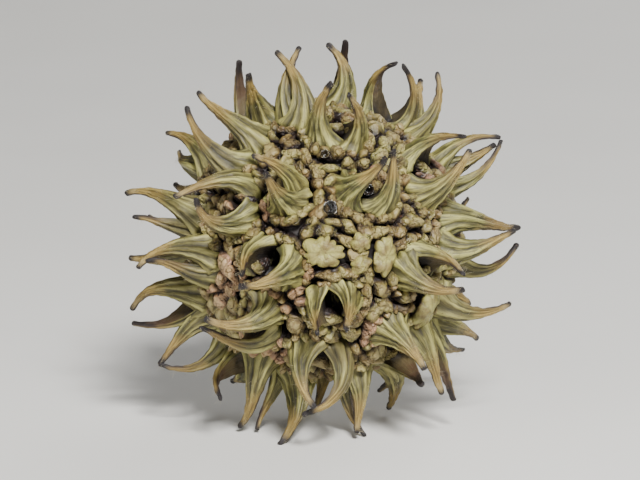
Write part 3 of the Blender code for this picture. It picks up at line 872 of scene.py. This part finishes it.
def add_plate(surface, centre, axes, half_sizes, lobes, draw):
    """A flat crinkled leaf with a scalloped rim, creased from its middle out between the lobes."""
    rim_out, rim_drop = zip(*PLATE_RIM)
    out = np.concatenate([np.linspace(PLATE_MIDDLE, 1, PLATE_RINGS), rim_out])[:, None]
    drop = np.concatenate([np.zeros(PLATE_RINGS), rim_drop])[:, None]
    around = turns(PLATE_SEGMENTS)
    turn = draw.uniform(0, 2 * pi)
    uneven = around + 0.22 * np.sin(2 * around + turn) + 0.12 * np.sin(3 * around - turn)
    lobe = np.abs(np.cos(lobes * uneven / 2 + turn)) ** 0.5
    size = 1 + 0.12 * np.sin(2 * around + 1.7 * turn) + 0.07 * np.sin(5 * around - turn)
    reach = out * size * (1 - PLATE_SCALLOP * (1 - lobe) * out**5)
    crinkle = 0.06 * (lobe - 0.7) * out**2 + 0.1 * (1 - out**2)
    local = round_points(half_sizes, reach, around, crinkle - drop - 0.25 * out**4)
    local[:, 2] += bumps(local, PLATE_BUMPS, draw)
    faces = tube_faces(len(out), PLATE_SEGMENTS)
    # Painted light: paler on the lobes, painted shade where the rim folds down
    crest = np.clip(0.55 + 0.3 * lobe - 1.2 * drop, 0, 1).reshape(-1)
    surface.add(local @ axes + np.array(centre), faces, crest=crest, tint=PLATE_TINT, folded=PLATE_FOLDS)


def add_plates(surface):
    draw = random.Random(SEED + 2)
    for place, sizes, turned, lobes in PLATES:
        direction = front_direction(place)
        axes = local_axes(direction, turned_level(turned))
        half_sizes = (sizes[0] * MM, sizes[1] * MM, PLATE_THICKNESS)
        add_plate(surface, direction * PLATE_REACH, axes, half_sizes, lobes, draw)


def add_scar(surface):
    """The stalk's scar: a ragged ring of broken wood round a shallow pit."""
    out = np.linspace(0.02, 1, SCAR_RINGS)[:, None]
    around = turns(SCAR_SEGMENTS)
    rim = np.exp(-(((out - 0.6) / 0.2) ** 2))
    fibre = np.abs(np.sin(SCAR_FIBRES * around / 2 + 1.5 * np.sin(3 * around)))
    height = SCAR_RIM * rim * (0.7 + 0.4 * fibre) - SCAR_DROP * np.clip((out - 0.7) / 0.3, 0, 1) ** 2
    reach = out * (1 + 0.1 * np.sin(2 * around + 1) + 0.05 * fibre)
    local = round_points((SCAR_RADIUS, SCAR_RADIUS, 1.0), reach, around, height)
    bump_size, bump_height = SCAR_BUMPS
    local[:, 2] += bump_height * waves(local, bump_size, SEED)
    faces = grid_faces(SCAR_RINGS, SCAR_SEGMENTS)
    faces.append(tuple(range(SCAR_SEGMENTS)))
    axes = local_axes(SCAR_DIRECTION, turned_level(0))
    # Painted highlight on the raised rim and its fibres, painted shade in the pit and round the outside
    crest = np.clip(0.25 + 0.45 * rim + 0.35 * (fibre - 0.5), 0, 1).reshape(-1)
    points = local @ axes + np.array(SCAR_DIRECTION * SCAR_BASE)
    surface.add(points, faces, crest=crest, tint=SCAR_TINT, folded=SCAR_FOLDS)


def icosphere(fineness, radius):
    """Points and faces of a ball of even triangles."""
    ball = bmesh.new()
    bmesh.ops.create_icosphere(ball, subdivisions=fineness, radius=radius)
    points = np.array([v.co for v in ball.verts])
    faces = [tuple(v.index for v in face.verts) for face in ball.faces]
    ball.free()
    return points, faces


def add_head(surface, capsules):
    """The ground between the knobs, sunk at every mouth, which is painted near black as shade."""
    directions, faces = icosphere(HEAD_FINENESS, 1.0)
    radius = np.full(len(directions), HEAD_RADIUS)
    for capsule in capsules:
        mouth = np.array(capsule.mouth.normalized())
        away = np.linalg.norm(directions - mouth, axis=1) * CORE_RADIUS
        radius -= MOUTH_DEPTH * np.exp(-((away / MOUTH_RADIUS) ** 4))
    for i, (size, height) in enumerate(HEAD_BUMPS):
        radius += height * waves(directions * CORE_RADIUS, size, SEED + i)
    surface.add(directions * radius[:, None], faces)


def add_drops(surface):
    """Dew drops, each a little flattened where it sits."""
    draw = random.Random(SEED + 3)
    for place, radius, reach in DROPS:
        direction = on_ball(place, reach * MM, FRONT).normalized()
        axes = local_axes(direction, turned_level(0))
        local, faces = icosphere(DROP_FINENESS, radius * MM)
        local = local * (1.0, 1.0, DROP_HEIGHT)
        local *= 1 + DROP_UNEVENNESS * waves(local, radius * MM, draw.randrange(SEEDS))[:, None]
        surface.add(local @ axes + np.array(direction * reach * MM), faces)


class Nodes:
    """A short way to build a material's nodes."""

    def __init__(self, name):
        self.material = bpy.data.materials.new(name)
        self.material.use_nodes = True
        self.tree = self.material.node_tree
        self.shader = self.tree.nodes["Principled BSDF"]

    def add(self, kind, inputs=(), **settings):
        node = self.tree.nodes.new(kind)
        for key, value in settings.items():
            setattr(node, key, value)
        for key, value in dict(inputs).items():
            self.put(value, node.inputs[key])
        return node

    def put(self, value, socket):
        if isinstance(value, bpy.types.NodeSocket):
            self.tree.links.new(value, socket)
        else:
            socket.default_value = value

    def coat(self, colour, roughness):
        self.put(colour, self.shader.inputs["Base Color"])
        self.put(roughness, self.shader.inputs["Roughness"])

    def value(self, name):
        return self.add("ShaderNodeAttribute", attribute_name=name).outputs["Fac"]

    def math(self, operation, a, b=0.0):
        return self.add("ShaderNodeMath", {0: a, 1: b}, operation=operation).outputs[0]

    def noise(self, vector, scale, detail=4.0):
        inputs = {"Vector": vector, "Scale": scale, "Detail": detail}
        return self.add("ShaderNodeTexNoise", inputs).outputs["Fac"]

    def remap(self, value, low, high, to_low=0.0, to_high=1.0):
        inputs = {"Value": value, "From Min": low, "From Max": high, "To Min": to_low, "To Max": to_high}
        return self.add("ShaderNodeMapRange", inputs, clamp=True).outputs["Result"]

    def mix(self, share, first, second):
        node = self.add("ShaderNodeMix", data_type="RGBA")
        self.put(share, node.inputs["Factor"])
        for socket, colour in (("A", first), ("B", second)):
            target = [s for s in node.inputs if s.name == socket and s.type == "RGBA"][0]
            self.put(colour, target)
        return [s for s in node.outputs if s.type == "RGBA"][0]

    def ramp(self, value, *stops):
        node = self.add("ShaderNodeValToRGB", {"Fac": value})
        ramp = node.color_ramp
        while len(ramp.elements) < len(stops):
            ramp.elements.new(1.0)
        for element, (place, colour) in zip(ramp.elements, stops):
            element.position = place
            element.color = colour
        return node.outputs["Color"]

    def position(self):
        return self.add("ShaderNodeTexCoord").outputs["Object"]

    def drawn_out(self, across, along, tint):
        """Coordinates on a beak in which noise is drawn out into fibres, other ones on each beak."""
        scales = {"across": across, "along": along, "tint": tint}
        scaled = [self.math("MULTIPLY", self.value(name), scale) for name, scale in scales.items()]
        return self.add("ShaderNodeCombineXYZ", dict(zip("XYZ", scaled))).outputs[0]

    def bump(self, height, strength, distance):
        inputs = {"Height": height, "Strength": strength, "Distance": distance}
        return self.add("ShaderNodeBump", inputs).outputs["Normal"]


def rgb(red, green, blue):
    """A colour as it looks on a screen, from 0 to 255, turned into the linear colour that shaders take."""
    linear = []
    for channel in (red, green, blue):
        c = channel / 255
        linear.append(c / 12.92 if c <= 0.04045 else ((c + 0.055) / 1.055) ** 2.4)
    return (*linear, 1.0)


def skirt_colour(n, fibre, thread, blotch, weathered):
    """Olive, with painted highlights on the crests and painted shade in the grooves, and fine pale and dark
    fibres.
    """
    crest = n.value("crest")
    olive = n.mix(n.value("tint"), rgb(74, 77, 34), rgb(104, 97, 46))
    skirt = n.mix(n.remap(blotch, 0.4, 0.72), olive, rgb(134, 127, 66))
    # Painted highlight on the pleat crests
    skirt = n.mix(n.remap(crest, 0.6, 0.95, 0.0, 0.6), skirt, rgb(174, 169, 100))
    # Painted shade in the pleat grooves
    skirt = n.mix(n.remap(crest, 0.06, 0.7), rgb(26, 24, 14), skirt)
    skirt = n.mix(n.remap(fibre, 0.52, 0.7, 0.0, 0.5), skirt, rgb(188, 182, 112))
    skirt = n.mix(n.remap(thread, 0.38, 0.5, 0.7, 0.0), skirt, rgb(50, 44, 26))
    # Weathered patches, which are real, with painted shade in their grooves and painted highlight on their
    # crests
    worn_and_shaded = n.mix(n.remap(crest, 0.2, 0.9), rgb(34, 28, 18), rgb(112, 98, 58))
    return n.mix(weathered, skirt, worn_and_shaded)


def horn_colour(n, fibre, weathered):
    """Ochre, and brown where it is weathered."""
    horn = n.mix(n.remap(fibre, 0.38, 0.62), rgb(98, 80, 38), rgb(160, 136, 72))
    return n.mix(n.math("MULTIPLY", weathered, 0.7), horn, rgb(92, 70, 38))


def with_dark_tip(n, colour, fibre, ragged):
    """The colour with a pale or brown neck, scorched rims and a nearly black tip."""
    along, tint = n.value("along"), n.value("tint")
    neck = n.mix(tint, rgb(120, 92, 50), rgb(178, 160, 116))
    colour = n.mix(n.remap(along, 0.8, 0.95, 0.0, 0.6), colour, neck)
    rim = n.math("ABSOLUTE", n.value("across"))
    scorch = n.math("MULTIPLY", n.remap(rim, 0.5, 0.88), n.remap(ragged, 0.45, 0.72))
    colour = n.mix(scorch, colour, rgb(38, 25, 20))
    tip = n.math("ADD", along, n.remap(fibre, 0.3, 0.7, -0.03, 0.03))
    tip = n.math("ADD", tip, n.remap(tint, 0.0, 1.0, 0.06, -0.06))
    return n.mix(n.remap(tip, 0.85, 0.93), colour, rgb(22, 14, 14))


def lining_colour(n, blotch):
    """A mouth's lining: dark at the bottom as painted shade deep in the mouth, tan halfway up, and dark
    again at the tip, as the tips really are.
    """
    return n.ramp(
        n.math("ADD", n.value("along"), n.remap(blotch, 0.3, 0.7, -0.15, 0.15)),
        (0.0, rgb(26, 21, 17)),
        (0.35, rgb(88, 76, 49)),
        (0.6, rgb(82, 62, 43)),
        (0.85, rgb(28, 18, 16)),
    )


def beak_material():
    """Olive skirts with painted highlights on the crests and painted shade in the grooves, turning ochre
    along the horn and near black at the tip.
    """
    n = Nodes("pleated_beak")
    place = n.position()
    fibre = n.noise(n.drawn_out(5.0, 2.2, 40.0), 1.6, 6.0)
    thread = n.noise(n.drawn_out(11.0, 3.0, 70.0), 1.5, 4.0)
    blotch = n.noise(place, 900.0, 5.0)
    patch = n.remap(n.noise(place, 160.0, 3.0), 0.46, 0.62)
    weathered = n.math("MULTIPLY", patch, n.remap(n.value("tint"), 0.0, 1.0, 0.75, 0.2))
    ragged = n.math("ADD", n.value("along"), n.remap(blotch, 0.2, 0.8, -0.12, 0.12))
    skirt = skirt_colour(n, fibre, thread, blotch, weathered)
    colour = n.mix(n.remap(ragged, 0.4, 0.66), skirt, horn_colour(n, fibre, weathered))
    colour = with_dark_tip(n, colour, fibre, ragged)
    colour = n.mix(n.value("inside"), colour, lining_colour(n, blotch))
    specks = n.remap(n.noise(place, 5200.0, 2.0), 0.66, 0.72, 0.0, 0.7)
    colour = n.mix(specks, colour, rgb(78, 58, 36))
    n.coat(colour, n.remap(fibre, 0.3, 0.7, 0.48, 0.68))
    fine = n.math("ADD", fibre, n.math("MULTIPLY", thread, 0.6))
    fine = n.math("ADD", fine, n.math("MULTIPLY", n.noise(place, 7000.0, 3.0), 0.35))
    n.put(n.bump(fine, 0.7, 0.14 * MM), n.shader.inputs["Normal"])
    return n.material


def knob_material():
    """Pale yellow-green to tan and pinkish tops, with painted highlights on the tops and purple-brown
    painted shade in the creases.
    """
    n = Nodes("warty_knob")
    place = n.position()
    crest, tint, folded = n.value("crest"), n.value("tint"), n.value("folded")
    blotch = n.noise(place, 1100.0, 5.0)
    top = n.ramp(
        tint,
        (0.0, rgb(122, 98, 58)),
        (0.4, rgb(122, 112, 60)),
        (0.72, rgb(150, 144, 80)),
        (0.85, rgb(170, 134, 94)),
        (1.0, rgb(164, 124, 96)),
    )
    top = n.mix(n.remap(blotch, 0.42, 0.62, 0.0, 0.7), top, rgb(104, 82, 46))
    # Painted highlight on the tops
    top = n.mix(n.remap(crest, 0.85, 1.1, 0.0, 0.5), top, rgb(178, 164, 112))
    # Painted shade in the creases and at the foot
    colour = n.mix(n.remap(crest, 0.22, 0.84), rgb(30, 20, 17), top)
    fold = n.math("ABSOLUTE", n.math("SUBTRACT", n.noise(place, 1000.0, 3.0), 0.5))
    crack = n.math("MULTIPLY", n.remap(fold, 0.0, 0.02, 0.55, 0.0), folded)
    colour = n.mix(crack, colour, rgb(62, 42, 30))
    specks = n.remap(n.noise(place, 4200.0, 2.0), 0.64, 0.7, 0.0, 0.6)
    colour = n.mix(specks, colour, rgb(96, 62, 44))
    n.coat(colour, n.remap(blotch, 0.3, 0.7, 0.4, 0.6))
    fine = n.math("ADD", blotch, n.math("MULTIPLY", n.noise(place, 6500.0, 3.0), 0.4))
    fine = n.math("ADD", fine, n.math("MULTIPLY", n.remap(fold, 0.0, 0.06), folded))
    n.put(n.bump(fine, 0.9, 0.16 * MM), n.shader.inputs["Normal"])
    return n.material


def fuzz_material():
    """Pale dry hairs."""
    n = Nodes("fuzz")
    patchy = n.noise(n.position(), 3000.0)
    n.coat(n.mix(patchy, rgb(176, 164, 124), rgb(214, 204, 176)), n.remap(patchy, 0.3, 0.7, 0.45, 0.6))
    return n.material


def head_material():
    """The dry ground between the knobs and in the mouths, painted near black as shade, with some brown
    mottling.
    """
    n = Nodes("painted_shade_ground")
    place = n.position()
    blotch = n.noise(place, 1500.0, 6.0)
    # Near-black painted shade for the gaps and mouths, mottled with dark brown
    colour = n.ramp(blotch, (0.3, rgb(14, 10, 8)), (0.55, rgb(28, 19, 14)), (0.75, rgb(54, 38, 25)))
    n.coat(colour, n.remap(blotch, 0.3, 0.7, 0.6, 0.8))
    n.put(n.bump(blotch, 0.7, 0.2 * MM), n.shader.inputs["Normal"])
    return n.material


def dew_material():
    n = Nodes("dew")
    n.shader.inputs["Base Color"].default_value = (1.0, 1.0, 1.0, 1.0)
    n.shader.inputs["Transmission Weight"].default_value = 1.0
    n.shader.inputs["IOR"].default_value = 1.33
    n.put(n.remap(n.noise(n.position(), 2500.0), 0.3, 0.7, 0.0, 0.06), n.shader.inputs["Roughness"])
    return n.material


def plain_material(name, colour, roughness):
    n = Nodes(name)
    grain = n.noise(n.position(), 60.0)
    n.coat(colour, n.remap(grain, 0.3, 0.7, roughness - 0.05, roughness + 0.05))
    return n.material


def add_floor():
    bpy.ops.mesh.primitive_plane_add(size=FLOOR_SIZE)
    floor = bpy.context.object
    floor.name = "floor"
    floor.data.materials.append(plain_material("pale_floor", rgb(222, 220, 214), 0.6))


def aim(thing, place, target):
    thing.location = place
    thing.rotation_euler = (Vector(place) - target).to_track_quat("Z", "Y").to_euler()


def add_light(name, place, target, size, power):
    light = bpy.data.lights.new(name, "AREA")
    light.size = size
    light.energy = power
    aim(linked(name, light), place, target)


def add_camera(centre):
    camera = bpy.data.cameras.new("photo_view")
    camera.sensor_width = SENSOR_WIDTH
    camera.lens = SENSOR_WIDTH * CAMERA_DISTANCE / (PHOTO_WIDTH * PIXEL)
    camera.clip_start = 0.01
    camera.clip_end = 20.0
    camera.shift_x = (PHOTO_WIDTH / 2 - CENTRE_PIXEL[0]) / PHOTO_WIDTH
    camera.shift_y = (CENTRE_PIXEL[1] - PHOTO_HEIGHT / 2) / PHOTO_WIDTH
    made = linked("photo_view", camera)
    away = Vector((0.0, -cos(VIEW_TILT), sin(VIEW_TILT)))
    aim(made, centre + away * CAMERA_DISTANCE, centre)
    bpy.context.scene.camera = made


def add_world():
    world = bpy.data.worlds.new("studio")
    world.use_nodes = True
    background = world.node_tree.nodes["Background"]
    background.inputs["Color"].default_value = ROOM_COLOUR
    background.inputs["Strength"].default_value = ROOM_STRENGTH
    bpy.context.scene.world = world


def make_beaks(capsules):
    """Every beak with its fuzz, in an upper and a lower piece on the near side and one on the far side."""
    draw = random.Random(SEED)
    upper, lower, far, fuzz = Surface(), Surface(), Surface(), Surface()
    for capsule in capsules:
        near = upper if capsule.mouth.z > 0 else lower
        for beak in capsule.beaks:
            add_beak(near if capsule.mouth.y < 0 else far, beak, capsule.gape, draw)
            add_fuzz(fuzz, beak, draw)
    pleated = beak_material()
    upper.piece("upper_beaks", pleated)
    lower.piece("lower_beaks", pleated)
    far.piece("far_beaks", pleated)
    fuzz.piece("fuzz", fuzz_material())


def make_knobs(capsules):
    """The knobs, plates, beans and scar, in a near and a far piece."""
    near, far = Surface(), Surface()
    add_knobs((near, far), capsules)
    add_plates(near)
    add_beans(near)
    add_scar(far)
    warty = knob_material()
    near.piece("near_knobs", warty)
    far.piece("far_knobs", warty)


def main():
    capsules = all_capsules()
    make_beaks(capsules)
    make_knobs(capsules)
    head = Surface()
    add_head(head, capsules)
    head.piece("head", head_material())
    drops = Surface()
    add_drops(drops)
    drops.piece("dew", dew_material())
    centre = Vector((0.0, 0.0, CENTRE_HEIGHT)) + BALL_OFFSET
    add_floor()
    add_world()
    for name, (place, size, power) in LIGHTS.items():
        add_light(name, centre + Vector(place), centre, size, power)
    add_camera(centre)


main()
